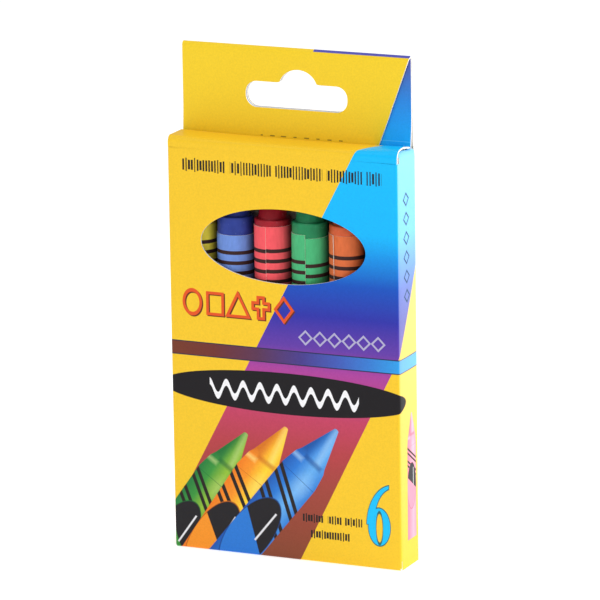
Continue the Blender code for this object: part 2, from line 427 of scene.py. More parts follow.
def side_print():
    made, tree, shader = new_finish("print_side", 0.4, 0.16)
    u, v = art_place(tree)
    colour = printed_ground(u, v)
    # Painted sheen: the side wall's print is whitened, more so towards its top, as a painted reflection
    # of the light from the right.
    colour = paint(colour, (1, 1, 1, 1), fill(PRINT_WIDTH - u) * v * 0.0026)
    colour = dark_oval(colour, u, v)
    colour = drawn_crayon(colour, u, v, (57.8, 32.8), 270, 2.3, (226, 118, 148),
                          (240, 146, 170), (246, 172, 192), 11.8)
    column = diamond_row(v, u, 56.0, 80.4, 56.1, 1.3, 0.26, 6)
    colour = paint(colour, linear(30, 74, 110), fill(column))
    varnish(tree, shader, colour)
    return made


def back_print():
    made, tree, shader = new_finish("print_back", 0.4, 0.16)
    u, v = art_place(tree)
    colour = printed_ground(u, v)
    rows = None
    for i in range(5):
        row = mark_row(u, v, ((8.0, 19.5), (21.0, 30.0), (31.2, 44.0)), 31.0 - 3.4 * i, 1.7,
                       0.6, 0.4)
        rows = row if rows is None else either(rows, row)
    colour = paint(colour, INK, fill(rows))
    varnish(tree, shader, colour)
    return made


def bare_board(name, shade, fleck):
    """Unprinted board: pale fibres with darker flecks of recycled pulp."""
    made, tree, shader = new_finish(name, 0.85, specular=0.25)
    fibre = speckle(tree, 1800.0, 4.0, (1.0, 1.0, 0.35))
    colour = paint(linear(*shade), linear(*fleck), calc("SMOOTH_MIN", fibre, 1.0, 0.1))
    tree.links.new(colour, shader.inputs["Base Color"])
    bump(tree, shader, fibre, 0.02 * MM)
    return made


PRINT_FRONT, PRINT_SIDE, PRINT_BACK = front_print(), side_print(), back_print()
BOARD_INSIDE = bare_board("board_inside", (226, 223, 214), (190, 186, 176))
BOARD_EDGE = bare_board("board_edge", (250, 248, 243), (224, 220, 210))


def pick(piece, kind, rule):
    """Select the faces, edges or vertices whose middle and direction suit the rule."""
    mesh = piece.data
    for item in (*mesh.vertices, *mesh.edges, *mesh.polygons):
        item.select = False
    if kind == "VERT":
        chosen = [p for p in mesh.vertices if rule(p.co, None)]
    elif kind == "EDGE":
        ends = [[mesh.vertices[i].co for i in edge.vertices] for edge in mesh.edges]
        chosen = [edge for edge, (a, b) in zip(mesh.edges, ends)
                  if rule((a + b) / 2, (b - a).normalized())]
    else:
        chosen = [face for face in mesh.polygons if rule(face.center, face.normal)]
    for item in chosen:
        item.select = True
    bpy.context.tool_settings.mesh_select_mode = [kind == k for k in ("VERT", "EDGE", "FACE")]
    bpy.context.view_layer.objects.active = piece
    bpy.ops.object.mode_set(mode="EDIT")


def leave_edit():
    bpy.ops.object.mode_set(mode="OBJECT")


def choose(piece):
    bpy.ops.object.select_all(action="DESELECT")
    piece.select_set(True)
    bpy.context.view_layer.objects.active = piece


def settle(piece):
    """Put the object's place into its mesh."""
    choose(piece)
    bpy.ops.object.transform_apply(location=True, rotation=True, scale=True)


def apply_all(piece):
    choose(piece)
    for modifier in list(piece.modifiers):
        bpy.ops.object.modifier_apply(modifier=modifier.name)


def thicken(piece, thickness=BOARD):
    """Give a shell its board: printed outside, plain inside, white where it is cut."""
    solid = piece.modifiers.new("board", "SOLIDIFY")
    solid.thickness = thickness
    solid.offset = -1.0
    solid.material_offset = 1
    solid.material_offset_rim = 2
    apply_all(piece)


def smooth(piece, degrees=35):
    choose(piece)
    bpy.ops.object.shade_smooth_by_angle(angle=math.radians(degrees))


def lay_art(piece, rule):
    """Write the print's coordinates, in mm, from each corner's place and its face's way."""
    layer = piece.data.uv_layers.get("art") or piece.data.uv_layers.new(name="art")
    for face in piece.data.polygons:
        for corner in face.loop_indices:
            point = piece.data.vertices[piece.data.loops[corner].vertex_index].co
            layer.data[corner].uv = rule(point, face.normal)


def sleeve_art(point, normal):
    """Unroll the walls from the front's left edge, and the back from its own."""
    if normal.y > 0.7:
        return (RIGHT_X - point.x) / MM, point.z / MM
    across = point.x - LEFT_X + math.copysign(point.y - FRONT_Y, point.x)
    return across / MM, point.z / MM


def face_out(piece, outward=None):
    """Turn a shell's faces the same way, and all over if its first face looks inward."""
    pick(piece, "FACE", lambda middle, normal: True)
    bpy.ops.mesh.remove_doubles(threshold=0.001 * MM)
    bpy.ops.mesh.normals_make_consistent(inside=False)
    leave_edit()
    outward = outward or (lambda middle, normal: normal.y < -0.7)
    if not any(outward(face.center, face.normal) for face in piece.data.polygons):
        pick(piece, "FACE", lambda middle, normal: True)
        bpy.ops.mesh.flip_normals()
        leave_edit()


def split_across(piece, axis, cuts):
    """Divide the edges that lie along an axis, so that the sheet can bend."""
    pick(piece, "EDGE", lambda middle, way: abs(way[axis]) > 0.9)
    bpy.ops.mesh.subdivide(number_cuts=cuts)
    leave_edit()


def new_sheet(name, middle, width, height, turn=(math.pi / 2, 0, 0)):
    """A flat strip of board, standing and facing the front unless it is turned."""
    bpy.ops.mesh.primitive_plane_add(size=1, location=middle, rotation=turn)
    sheet = bpy.context.object
    sheet.name = sheet.data.name = name
    sheet.scale = (width, height, 1)
    settle(sheet)
    return sheet


def finish_with(piece, *finishes):
    for finish in finishes:
        piece.data.materials.append(finish)


def cut_out(piece, cutter):
    """Take a cutter's shape out of a piece, and delete the cutter."""
    cut = piece.modifiers.new("cut", "BOOLEAN")
    cut.object = cutter
    cut.operation = "DIFFERENCE"
    cut.solver = "EXACT"
    cut.use_self = True
    apply_all(piece)
    bpy.data.objects.remove(cutter)


WINDOW_MIDDLE = (0, FRONT_Y, 67.1 * MM)
WINDOW_HALF = (18.65 * MM, 7.9 * MM)
BASE_FOLD = 0.45 * MM


def swell(point):
    """How far a wall stands out between its folds, as board under slight load does."""
    up = math.sin(math.pi * min(max(point.z / SLIT_Z, 0.0), 1.0))
    if point.y < FRONT_Y + 0.1 * MM or point.y > BACK_Y - 0.1 * MM:
        across = math.cos(math.pi * point.x / (RIGHT_X - LEFT_X))
        return Vector((0, math.copysign(0.16 * MM, point.y) * max(across, 0) * up, 0))
    across = math.cos(math.pi * point.y / (BACK_Y - FRONT_Y))
    return Vector((math.copysign(0.10 * MM, point.x) * max(across, 0) * up, 0, 0))


def trim_sleeve(sleeve):
    """Cut each wall to its own height: the front ends just under the lid's crease."""
    inner = FRONT_Y + 0.46 * MM
    pick(sleeve, "FACE", lambda middle, normal: middle.y < inner)
    bpy.ops.mesh.bisect(plane_co=(0, 0, SLIT_Z), plane_no=(0, 0, 1), clear_outer=True)
    leave_edit()
    pick(sleeve, "FACE", lambda middle, normal: middle.y < FRONT_Y + 0.3 * MM)
    bpy.ops.mesh.bisect(plane_co=(0, 0, BASE_FOLD), plane_no=(0, 0, -1), clear_outer=True)
    leave_edit()
    pick(sleeve, "FACE", lambda middle, normal: inner <= middle.y < BACK_Y - 0.46 * MM)
    bpy.ops.mesh.bisect(plane_co=(0, 0, WALL_TOP_Z), plane_no=(0, 0, 1), clear_outer=True)
    leave_edit()


def make_window_cutter():
    bpy.ops.mesh.primitive_cylinder_add(vertices=128, radius=1, depth=2 * MM,
                                        location=WINDOW_MIDDLE, rotation=(math.pi / 2, 0, 0))
    cutter = bpy.context.object
    cutter.scale = (WINDOW_HALF[0], WINDOW_HALF[1], 1)
    settle(cutter)
    finish_with(cutter, BOARD_EDGE)
    return cutter


def make_sleeve():
    width, depth = RIGHT_X - LEFT_X, BACK_Y - FRONT_Y
    bpy.ops.mesh.primitive_cube_add(size=1, location=(0, 0, LID_Z / 2))
    sleeve = bpy.context.object
    sleeve.name = sleeve.data.name = "carton_sleeve"
    sleeve.scale = (width, depth, LID_Z)
    settle(sleeve)
    pick(sleeve, "FACE", lambda middle, normal: abs(normal.z) > 0.5)
    bpy.ops.mesh.delete(type="FACE")
    leave_edit()
    pick(sleeve, "EDGE", lambda middle, way: abs(way.z) > 0.9)
    bpy.ops.mesh.bevel(offset=0.45 * MM, segments=4, affect="EDGES")
    leave_edit()
    split_across(sleeve, 2, 43)
    pick(sleeve, "EDGE", lambda middle, way: abs(way.x) > 0.9 and abs(middle.x) < 1 * MM)
    bpy.ops.mesh.subdivide(number_cuts=31)
    leave_edit()
    pick(sleeve, "EDGE", lambda middle, way: abs(way.y) > 0.9 and abs(middle.y) < 1 * MM)
    bpy.ops.mesh.subdivide(number_cuts=7)
    leave_edit()
    trim_sleeve(sleeve)
    finish_with(sleeve, PRINT_FRONT, BOARD_INSIDE, BOARD_EDGE, PRINT_SIDE, PRINT_BACK)
    lay_art(sleeve, sleeve_art)
    for vertex in sleeve.data.vertices:
        vertex.co += swell(vertex.co)
    thicken(sleeve)
    for face in sleeve.data.polygons:
        if face.material_index == 0 and face.normal.y > 0.7:
            face.material_index = 4
        elif face.material_index == 0 and abs(face.normal.x) > 0.7:
            face.material_index = 3
    cut_out(sleeve, make_window_cutter())
    smooth(sleeve)
    return sleeve


carton_sleeve = make_sleeve()
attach(carton_sleeve, "carton")
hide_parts("front_panel", "back_panel", "left_side_panel", "right_side_panel")


# --- Base ----------------------------------------------------------------------------
# The outer flap turns under from the front wall with a small round fold and lies flat.
# The inner flap and the two short flaps above it are glued behind it and hardly show.

def make_base_flap():
    bpy.ops.mesh.primitive_plane_add(size=1, location=(0, FRONT_Y, BASE_FOLD + 0.05 * MM),
                                     rotation=(math.pi / 2, 0, 0))
    flap = bpy.context.object
    flap.name = flap.data.name = "base_outer_flap"
    flap.scale = (RIGHT_X - LEFT_X - 0.5 * MM, 0.1 * MM, 1)
    settle(flap)
    pick(flap, "EDGE", lambda middle, way: middle.z < BASE_FOLD + TOUCH)
    bpy.ops.mesh.spin(steps=6, angle=-math.pi / 2, axis=(1, 0, 0),
                      center=(0, FRONT_Y + BASE_FOLD, BASE_FOLD))
    leave_edit()
    pick(flap, "EDGE", lambda middle, way: middle.z < TOUCH and abs(way.x) > 0.9)
    bpy.ops.mesh.extrude_region_move(
        TRANSFORM_OT_translate={"value": (0, BACK_Y - FRONT_Y - 1.1 * MM - BASE_FOLD, 0)})
    leave_edit()
    finish_with(flap, PRINT_FRONT, BOARD_INSIDE, BOARD_EDGE)
    face_out(flap)
    lay_art(flap, lambda point, normal: ((point.x - LEFT_X) / MM, point.z / MM - (
        point.y - FRONT_Y) / MM))
    thicken(flap)
    smooth(flap)
    return flap


base_outer_flap = make_base_flap()
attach(base_outer_flap, "carton")
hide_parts("bottom_outer_flap")
for hidden in ("bottom_inner_flap", "bottom_dust_flap_left", "bottom_dust_flap_right",
               "side_glue_flap"):
    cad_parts[hidden].data.materials.clear()
    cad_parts[hidden].data.materials.append(BOARD_INSIDE)


# --- Hang tab ------------------------------------------------------------------------
# The back wall's board runs on up, folds over at the top and comes down in front, where
# its right edge is cut on a slant.  A second ply lies between.  One euro slot is punched
# through all of them.

TAB_LEFT_X, TAB_RIGHT_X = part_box("hang_tab_back_ply")[0].x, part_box("hang_tab_back_ply")[1].x
TAB_MIDDLE_X, TAB_WIDTH = (TAB_RIGHT_X + TAB_LEFT_X) / 2, TAB_RIGHT_X - TAB_LEFT_X
TAB_TOP_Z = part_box("hang_tab_back_ply")[1].z
FRONT_PLY_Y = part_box("hang_tab_front_ply")[0].y
MIDDLE_PLY_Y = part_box("hang_tab_middle_ply")[0].y
FOLD_OVER = (BACK_Y - FRONT_PLY_Y) / 2
FOLD_OVER_Z = TAB_TOP_Z - FOLD_OVER
SLANT_FOOT_X = 18.7 * MM
SLOT_MIDDLE = (0.1 * MM, 97.3 * MM)
SLOT_HALF = (11.5 * MM, 2.75 * MM)
SLOT_END = 2.5 * MM
DOME_RADIUS, DOME_X = 4.35 * MM, 0.5 * MM
DOME_MIDDLE_Z = SLOT_MIDDLE[1] + 1.74 * MM
SHOULDER_BEND = 1.1 * MM
FRONT_PLY_BOW, MIDDLE_PLY_BOW = 0.36 * MM, 0.6 * MM
# The middle ply shares the tab's print, and this far along it the ink is all blue.
MIDDLE_PLY_U = 300.0


def tab_print():
    made, tree, shader = new_finish("print_tab", 0.4, 0.16)
    u, v = art_place(tree)
    band = gradient(v, 88.0, 108.0, (
        (88.5, (26, 178, 250)), (94, (32, 152, 236)), (98, (42, 134, 220)),
        (101, (56, 120, 202)), (104, (74, 104, 182)), (107.2, (84, 84, 176))))
    over_top = both(size_of(v - 107.9) - 0.88, 30.0 - u)
    middle_ply = MIDDLE_PLY_U - 100.0 - u
    # Painted light: the tab is printed in a lighter copy of the front's yellow, so that it looks as
    # brightly lit as the front.
    tab_yellow_painted_lighter = (YELLOW[0], YELLOW[1] * 1.1, YELLOW[2], 1)
    colour = paint(tab_yellow_painted_lighter, band, fill(either(over_top, middle_ply)))
    # Painted highlight: a pale cyan line on the middle ply, just above the lid, stands for light caught
    # along the crease there.
    painted_crease_highlight = both(size_of(v - 89.5) - 0.08, middle_ply)
    colour = paint(colour, linear(96, 208, 252), fill(painted_crease_highlight) * 0.6)
    dashes = both(size_of(v - 88.75) - 0.12, size_of(u - 27.4) - 9.4)
    gaps = calc("PINGPONG", u - 18.0, 1.3) - calc("MULTIPLY_ADD", speckle(tree, 400.0), 1.2, -0.1)
    colour = paint(colour, INK, fill(both(dashes, gaps)) * 0.7)
    varnish(tree, shader, colour)
    return made


PRINT_TAB = tab_print()


def make_slot_cutter():
    """The punch: a bar with round ends, and a dome that flows into its top edge."""
    middle_y = (FRONT_PLY_Y + BACK_Y) / 2
    bpy.ops.mesh.primitive_cube_add(size=1, location=(SLOT_MIDDLE[0], middle_y, SLOT_MIDDLE[1]))
    punch = bpy.context.object
    punch.scale = (2 * SLOT_HALF[0], 4 * MM, 2 * SLOT_HALF[1])
    settle(punch)
    pick(punch, "EDGE", lambda middle, way: abs(way.y) > 0.9)
    bpy.ops.mesh.bevel(offset=SLOT_END, segments=10, affect="EDGES")
    leave_edit()
    bpy.ops.mesh.primitive_cylinder_add(vertices=90, radius=DOME_RADIUS, depth=4 * MM,
                                        location=(DOME_X, middle_y, DOME_MIDDLE_Z),
                                        rotation=(math.pi / 2, 0, 0))
    dome = bpy.context.object
    dome.scale.y = 0.9
    settle(dome)
    join = punch.modifiers.new("join", "BOOLEAN")
    join.object, join.operation, join.solver = dome, "UNION", "EXACT"
    apply_all(punch)
    bpy.data.objects.remove(dome)
    shoulder_z = SLOT_MIDDLE[1] + SLOT_HALF[1]
    pick(punch, "EDGE", lambda middle, way: abs(way.y) > 0.9 and abs(
        middle.z - shoulder_z) < 0.1 * MM and abs(abs(middle.x - DOME_X) - 4.1 * MM) < MM)
    bpy.ops.mesh.bevel(offset=SHOULDER_BEND, segments=6, affect="EDGES")
    leave_edit()
    finish_with(punch, BOARD_EDGE)
    return punch


PLY_FOOT_Z = LID_Z - 0.5 * MM


def near_foot(point):
    """How far the inner plies bow forward to meet the lid: 1 at its level, 0 at the slot."""
    low = 1 - (point.z - LID_Z) / (SLOT_MIDDLE[1] - SLOT_HALF[1] - LID_Z)
    return min(max(low, 0.0), 1.0) ** 1.5


def make_tab():
    tab = new_sheet("hang_tab", (TAB_MIDDLE_X, BACK_Y, (LID_Z + FOLD_OVER_Z) / 2), TAB_WIDTH,
                    FOLD_OVER_Z - LID_Z)
    pick(tab, "EDGE", lambda middle, way: middle.z > FOLD_OVER_Z - TOUCH)
    bpy.ops.mesh.spin(steps=10, angle=-math.pi, axis=(1, 0, 0),
                      center=(0, BACK_Y - FOLD_OVER, FOLD_OVER_Z))
    leave_edit()
    pick(tab, "EDGE", lambda middle, way: abs(way.x) > 0.9 and
         middle.y < FRONT_PLY_Y + TOUCH)
    bpy.ops.mesh.extrude_region_move(
        TRANSFORM_OT_translate={"value": (0, 0, PLY_FOOT_Z - FOLD_OVER_Z)})
    leave_edit()
    face_out(tab)
    split_across(tab, 0, 24)
    split_across(tab, 2, 8)
    finish_with(tab, PRINT_TAB, BOARD_INSIDE, BOARD_EDGE)
    rise, run = TAB_TOP_Z - LID_Z, TAB_RIGHT_X - SLANT_FOOT_X
    pick(tab, "FACE", lambda middle, normal: middle.y < FRONT_PLY_Y + 0.5 * MM)
    bpy.ops.mesh.bisect(plane_co=(SLANT_FOOT_X, 0, LID_Z), clear_outer=True,
                        plane_no=Vector((rise, 0, -run)).normalized())
    leave_edit()
    lay_art(tab, tab_art)
    for vertex in tab.data.vertices:
        if vertex.co.y < FRONT_PLY_Y + TOUCH:
            vertex.co.y -= FRONT_PLY_BOW * near_foot(vertex.co)
    thicken(tab)
    cut_out(tab, make_slot_cutter())
    smooth(tab)
    return tab


def tab_art(point, normal):
    """Up the front, over the top fold, and on: the height keeps growing past the fold."""
    across, up = (point.x - LEFT_X) / MM, point.z / MM
    if point.z > FOLD_OVER_Z:
        turn = math.atan2(point.z - FOLD_OVER_Z, BACK_Y - FOLD_OVER - point.y)
        up = (FOLD_OVER_Z + FOLD_OVER * turn) / MM
    elif point.y > BACK_Y - FOLD_OVER:
        up = (FOLD_OVER_Z * 2 + FOLD_OVER * math.pi - point.z) / MM
    return across, up


def make_middle_ply():
    height = TAB_TOP_Z - 0.5 * MM - PLY_FOOT_Z
    ply = new_sheet("hang_tab_middle", (TAB_MIDDLE_X, MIDDLE_PLY_Y, PLY_FOOT_Z + height / 2),
                    TAB_WIDTH, height)
    face_out(ply)
    split_across(ply, 0, 24)
    split_across(ply, 2, 8)
    finish_with(ply, PRINT_TAB, BOARD_INSIDE, BOARD_EDGE)
    lay_art(ply, lambda point, normal: (MIDDLE_PLY_U, point.z / MM))
    for vertex in ply.data.vertices:
        vertex.co.y -= MIDDLE_PLY_BOW * near_foot(vertex.co)
    thicken(ply)
    cut_out(ply, make_slot_cutter())
    smooth(ply)
    return ply


hang_tab = make_tab()
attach(hang_tab, "carton")
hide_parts("hang_tab_back_ply", "hang_tab_front_ply")
hang_tab_middle = make_middle_ply()
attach(hang_tab_middle, "carton")
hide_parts("hang_tab_middle_ply")


# --- Lid -----------------------------------------------------------------------------
# The front wall's board bends over at a crease in a soft round fold and runs flat to the
# tab.  It turns down there in a narrow tuck flap, which goes inside in front of the tab.

LID_END_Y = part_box("top_lid")[1].y + 0.05 * MM
TUCK_LOW, TUCK_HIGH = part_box("top_tuck_flap")
TUCK_TAPER = 1.5 * MM
TUCK_PRINT_V = 91.3


def lid_art(point, normal):
    """The print runs on over the fold: height is measured along the board."""
    up = point.z
    if point.z > CREASE_Z:
        middle_y = FRONT_Y + FOLD_RADIUS
        turn = math.atan2(point.z - CREASE_Z, max(middle_y - point.y, 0.0))
        up = CREASE_Z + FOLD_RADIUS * turn + max(point.y - middle_y, 0.0)
    return (point.x - LEFT_X) / MM, up / MM


def crown(point):
    """The lid springs up a little at the left, and in a low arch at its right end."""
    high = min(max((point.z - LID_Z) / (2 * BOARD) + 1, 0.0), 1.0)
    right = min(max((point.x - 9 * MM) / (RIGHT_X - 9 * MM), 0.0), 1.0) ** 2
    left = min(max((4 * MM - point.x) / (4 * MM - LEFT_X), 0.0), 1.0) ** 2
    deep = min(max((point.y - FRONT_Y) / (LID_END_Y - FRONT_Y), 0.0), 1.0)
    return MM * high * (0.8 * right * math.sin(math.pi * deep ** 0.7) + 0.3 * right * deep +
                        0.35 * left * min(deep * 8, 1.0))


def make_lid():
    lid = new_sheet("lid", (0, FRONT_Y, (SLIT_Z + CREASE_Z) / 2), RIGHT_X - LEFT_X - 0.3 * MM,
                    CREASE_Z - SLIT_Z)
    pick(lid, "EDGE", lambda middle, way: middle.z > CREASE_Z - TOUCH)
    bpy.ops.mesh.spin(steps=8, angle=math.pi / 2, axis=(1, 0, 0),
                      center=(0, FRONT_Y + FOLD_RADIUS, CREASE_Z))
    leave_edit()
    pick(lid, "EDGE", lambda middle, way: abs(way.x) > 0.9 and
         middle.y > FRONT_Y + FOLD_RADIUS - TOUCH)
    bpy.ops.mesh.extrude_region_move(
        TRANSFORM_OT_translate={"value": (0, LID_END_Y - FRONT_Y - FOLD_RADIUS, 0)})
    leave_edit()
    face_out(lid)
    split_across(lid, 0, 47)
    split_across(lid, 1, 11)
    split_across(lid, 2, 3)
    finish_with(lid, PRINT_FRONT, BOARD_INSIDE, BOARD_EDGE)
    lay_art(lid, lid_art)
    for vertex in lid.data.vertices:
        vertex.co.z += crown(vertex.co)
    thicken(lid)
    smooth(lid)
    return lid


def make_tuck_flap():
    half = TUCK_HIGH.x
    flap = new_sheet("tuck_flap", (0, LID_END_Y + 0.05 * MM, LID_Z), 2 * half, 0.1 * MM,
                     (0, 0, 0))
    start_y = LID_END_Y + 0.1 * MM
    bend = TUCK_HIGH.y - start_y
    pick(flap, "EDGE", lambda middle, way: middle.y > start_y - TOUCH)
    bpy.ops.mesh.spin(steps=8, angle=math.pi / 2, axis=(1, 0, 0),
                      center=(0, start_y, LID_Z - bend))
    leave_edit()
    pick(flap, "EDGE", lambda middle, way: abs(way.x) > 0.9 and
         middle.z < LID_Z - bend + TOUCH)
    bpy.ops.mesh.extrude_region_move(
        TRANSFORM_OT_translate={"value": (0, 0, TUCK_LOW.z - LID_Z + bend)})
    leave_edit()
    pick(flap, "VERT", lambda place, way: place.z < TUCK_LOW.z + TOUCH)
    bpy.ops.transform.resize(value=((half - TUCK_TAPER) / half, 1, 1),
                             center_override=(0, TUCK_HIGH.y, TUCK_LOW.z))
    leave_edit()
    face_out(flap, lambda middle, normal: normal.y > 0.7)
    split_across(flap, 0, 15)
    finish_with(flap, PRINT_FRONT, BOARD_INSIDE, BOARD_EDGE)
    lay_art(flap, lambda point, normal: ((point.x - LEFT_X) / MM, TUCK_PRINT_V + (LID_Z - point.z) / MM))
    for vertex in flap.data.vertices:
        vertex.co.z += crown(vertex.co)
    thicken(flap)
    smooth(flap)
    return flap


lid = make_lid()
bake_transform(lid)
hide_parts("top_lid")
tuck_flap = make_tuck_flap()
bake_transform(tuck_flap)
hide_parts("top_tuck_flap")


# --- Dust flaps ----------------------------------------------------------------------
# A short flap turns in from the top of each side wall and closes the lid's open ends.

def make_dust_flap(name, node, side):
    """Made at the right and mirrored for the left: a strip, its fold, and a narrowing end."""
    low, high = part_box(node)
    bend = high.z - WALL_TOP_Z
    front_y, back_y = FRONT_Y + 0.7 * MM, BACK_Y - 0.7 * MM
    outer_x = RIGHT_X + 0.05 * MM
    flap = new_sheet(name, (outer_x, (front_y + back_y) / 2, WALL_TOP_Z - 0.4 * MM), 1, 0.8 * MM,
                     (math.pi / 2, 0, math.pi / 2))
    pick(flap, "VERT", lambda place, way: True)
    bpy.ops.transform.resize(value=(1, back_y - front_y, 1),
                             center_override=(outer_x, (front_y + back_y) / 2, WALL_TOP_Z))
    leave_edit()
    pick(flap, "EDGE", lambda middle, way: middle.z > WALL_TOP_Z - TOUCH)
    bpy.ops.mesh.spin(steps=7, angle=math.pi / 2, axis=(0, 1, 0),
                      center=(outer_x - bend, 0, WALL_TOP_Z))
    leave_edit()
    pick(flap, "EDGE", lambda middle, way: abs(way.y) > 0.9 and
         middle.x < outer_x - bend + TOUCH)
    for reach, narrower in ((0.5 * MM, 0.57), (high.x - low.x - bend - 0.5 * MM, 0.93)):
        bpy.ops.mesh.extrude_region_move(TRANSFORM_OT_translate={"value": (-reach, 0, 0)})
        bpy.ops.transform.resize(value=(1, narrower, 1), center_override=(0, -1.95 * MM, 0))
    leave_edit()
    face_out(flap, lambda middle, normal: normal.x > 0.7)
    split_across(flap, 1, 7)
    finish_with(flap, PRINT_SIDE, BOARD_INSIDE, BOARD_EDGE)
    lay_art(flap, lambda point, normal: (
        PRINT_WIDTH + (point.y - FRONT_Y) / MM, (point.z + RIGHT_X - point.x) / MM))
    for vertex in flap.data.vertices:
        rise = min(max((vertex.co.z - WALL_TOP_Z) / bend, 0.0), 1.0)
        vertex.co.z += 0.9 * rise * crown(Vector((vertex.co.x * side, vertex.co.y, LID_Z)))
    thicken(flap)
    if side < 0:
        flap.scale.x = -1
        settle(flap)
        pick(flap, "FACE", lambda middle, normal: True)
        bpy.ops.mesh.flip_normals()
        leave_edit()
        lay_art(flap, lambda point, normal: (-(point.y - FRONT_Y) / MM, point.z / MM))
    smooth(flap)
    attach(flap, "carton")
    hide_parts(node)


make_dust_flap("dust_flap_right", "top_dust_flap_right", 1)
make_dust_flap("dust_flap_left", "top_dust_flap_left", -1)


# --- Crayons -------------------------------------------------------------------------
# Six moulded wax sticks with a stepped, blunt cone.  Each is rolled in its own strip of
# matte paper, printed with dark bands, whose overlapping end shows as a fine seam.

CRAYON_PITCH = 8.5 * MM
WAX_LOW, WAX_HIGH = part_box("crayon_red_wax")
WAX_RADIUS = (WAX_HIGH.x - WAX_LOW.x) / 2
PAPER_RADIUS = 3.98 * MM
PAPER_FOOT_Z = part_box("crayon_red_wrapper")[0].z
PAPER = 0.12 * MM
WRAP_TURNS, LOOSE_FROM = 1.035, 0.955
BAND_PITCH, BAND_HALF, BOTTOM_BAND = 2.17, 0.4, 11.0
SHOULDER_Z = 72.2 * MM
# colour, its wax and paper as seen, height of its top band, and the seam's angle, jump
# and lift
CRAYONS = (
    ("yellow", (240, 184, 30), (255, 222, 66), 66.3, 150, 0.0, 0.0),
    ("blue", (34, 54, 140), (104, 138, 210), 64.7, 170, 0.3, 0.0),
    ("red", (150, 10, 26), (246, 84, 92), 65.7, 0.7, 0.1, 0.0),
    ("green", (22, 124, 76), (68, 178, 116), 63.6, 7, -0.85, 0.05),
    ("orange", (200, 84, 42), (214, 104, 54), 65.6, -25, 0.0, 0.22),
    ("brown", (84, 46, 30), (140, 92, 66), 64.9, 120, 0.2, 0.0),
)


def painted_gap_shade(tree, x):
    """Painted shade: 0 over most of the stick and 1 at its two sides, where it meets its neighbours and
    the gaps between them lie in shadow.
    """
    place = tree.nodes.new("ShaderNodeTexCoord")
    parts = tree.nodes.new("ShaderNodeSeparateXYZ")
    tree.links.new(place.outputs["Object"], parts.inputs["Vector"])
    side = size_of(Value(parts.outputs["X"]) - x) * (1 / PAPER_RADIUS)
    return fill(0.93 - side, 0.24)


def wax_finish(colour, shade, x):
    made, tree, shader = new_finish("wax_" + colour, 0.45, 0.3)
    cloud = speckle(tree, 420.0, 4.0)
    scuff = speckle(tree, 1400.0, 3.0, (1, 1, 0.25))
    light = linear(*[min(255, part * 1.12 + 14) for part in shade])
    deep = linear(*[part * 0.86 for part in shade])
    colour_out = paint(deep, light, cloud)
    fleck = calc("SMOOTH_MIN", calc("MULTIPLY_ADD", speckle(tree, 1100.0, 2.0), 6.0, -3.9), 1.0, 0.0)
    fleck = calc("MAXIMUM", fleck, 0.0) * 0.45
    colour_out = paint(colour_out, linear(*[part * 0.6 + 90 for part in shade]), fleck)
    # Painted shade: the wax is darkened at its two sides, in the gaps between neighbouring sticks.
    colour_out = paint(colour_out, linear(20, 14, 20), painted_gap_shade(tree, x) * 0.55)
    tree.links.new(colour_out, shader.inputs["Base Color"])
    tree.links.new(calc("MULTIPLY_ADD", scuff, 0.3, 0.3).socket, shader.inputs["Roughness"])
    shader.inputs["Subsurface Weight"].default_value = 0.12
    shader.inputs["Subsurface Radius"].default_value = (0.6, 0.3, 0.2)
    shader.inputs["Subsurface Scale"].default_value = 0.6 * MM
    bump(tree, shader, scuff, 0.03 * MM)
    return made


def paper_finish(colour, shade, top_band, x):
    made, tree, shader = new_finish("paper_" + colour, 0.72, specular=0.3)
    u, v = art_place(tree)
    fibre = speckle(tree, 1500.0, 4.0, (1, 1, 0.4))
    light = linear(*[min(255, part * 1.06 + 6) for part in shade])
    deep = linear(*[part * 0.93 for part in shade])
    ground = paint(deep, light, fibre)
    for sign, first in ((1, top_band), (-1, BOTTOM_BAND)):
        step = (first - v if sign > 0 else v - first) * (1 / BAND_PITCH)
        near = calc("MAXIMUM", calc("MINIMUM", calc("ROUND", step), 3.0), 0.0)
        band = size_of(step - near) * BAND_PITCH - BAND_HALF
        ground = paint(ground, linear(52, 26, 24), fill(band))
    ground = paint(ground, linear(40, 30, 32), fill(oval(u, v, (12.7, 38.0), (4.6, 12.5))))
    # Painted shade: the paper is darkened at its two sides, in the gaps between neighbouring sticks.
    ground = paint(ground, linear(24, 16, 20), painted_gap_shade(tree, x) * 0.6)
    tree.links.new(ground, shader.inputs["Base Color"])
    bump(tree, shader, fibre, 0.03 * MM)
    return made


RAW_PAPER = bare_board("paper_raw_edge", (250, 244, 232), (226, 214, 196))


